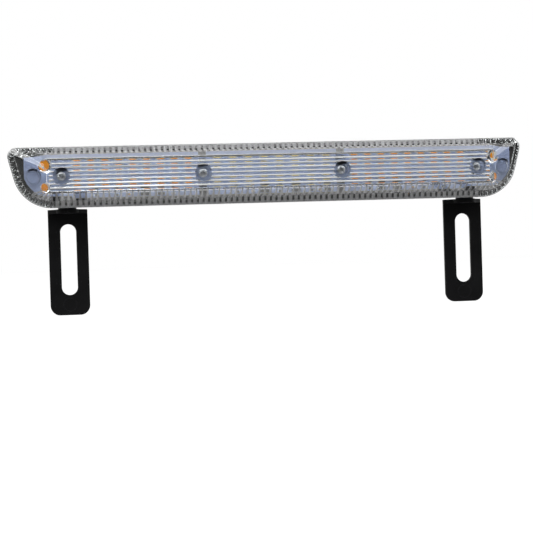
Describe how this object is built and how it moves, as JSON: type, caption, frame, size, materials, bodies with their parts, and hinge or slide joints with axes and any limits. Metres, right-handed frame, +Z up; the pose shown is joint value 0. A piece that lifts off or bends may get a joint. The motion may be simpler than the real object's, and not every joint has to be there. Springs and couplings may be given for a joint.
{
  "type": "third brake light",
  "caption": "Light bar with amber and white lamps on a board behind a clear ribbed lens, hung on two swivel brackets with slotted plates.",
  "frame": {"origin": "centre of the housing's flat back face", "axes": "+X along the bar, +Y out of the back face, +Z up"},
  "size_m": [0.263, 0.028, 0.0846],
  "materials": {
    "black_abs": "moulded, fine texture",
    "clear_polycarbonate": "clear moulding, ribbed walls and fluted window",
    "gasket_rubber": "soft, matt",
    "board_white_mask": "white solder mask with a blue cast, satin",
    "tin_solder": "tinned, slightly dull",
    "lamp_package": "white moulded package",
    "amber_phosphor": "orange silicone, glossy",
    "white_phosphor": "pale yellow silicone, glossy",
    "chip_epoxy": "black epoxy",
    "resistor_glaze": "black glaze",
    "capacitor_ceramic": "fired ceramic",
    "grommet_rubber": "soft black rubber",
    "zinc_steel": "zinc plated",
    "brass": "turned and knurled",
    "blackened_steel": "black oxide",
    "nylon_washer": "black nylon",
    "bracket_nylon": "moulded, satin"
  },
  "bodies": {
    "lamp": {"base_housing": "black_abs", "lens_cover": "clear_polycarbonate", "lens_gasket": "gasket_rubber", "circuit_board": "board_white_mask", "solder_pads": "tin_solder", "amber_led_packages": "lamp_package", "amber_led_phosphors": "amber_phosphor", "white_led_packages": "lamp_package", "white_led_phosphors": "white_phosphor", "driver_chips": "chip_epoxy", "resistor_bodies": "resistor_glaze", "resistor_terminals": "tin_solder", "rectifier_diodes": "chip_epoxy", "capacitors": "capacitor_ceramic", "cable_grommet": "grommet_rubber", "case_screws": "zinc_steel", "left_threaded_insert": "brass", "right_threaded_insert": "brass", "left_pivot_screw": "blackened_steel", "right_pivot_screw": "blackened_steel", "left_friction_washer": "nylon_washer", "right_friction_washer": "nylon_washer"},
    "left_bracket": {"left_bracket": "bracket_nylon"},
    "right_bracket": {"right_bracket": "bracket_nylon"}
  },
  "joints": [
    {"name": "left_bracket_swivel", "type": "hinge", "parent": "lamp", "child": "left_bracket", "pos_m": [-0.1028, -0.007, -0.01675], "axis": [0, 0, 1], "range_deg": [-90, 90]},
    {"name": "right_bracket_swivel", "type": "hinge", "parent": "lamp", "child": "right_bracket", "pos_m": [0.1028, -0.007, -0.01675], "axis": [0, 0, 1], "range_deg": [-90, 90]}
  ]
}
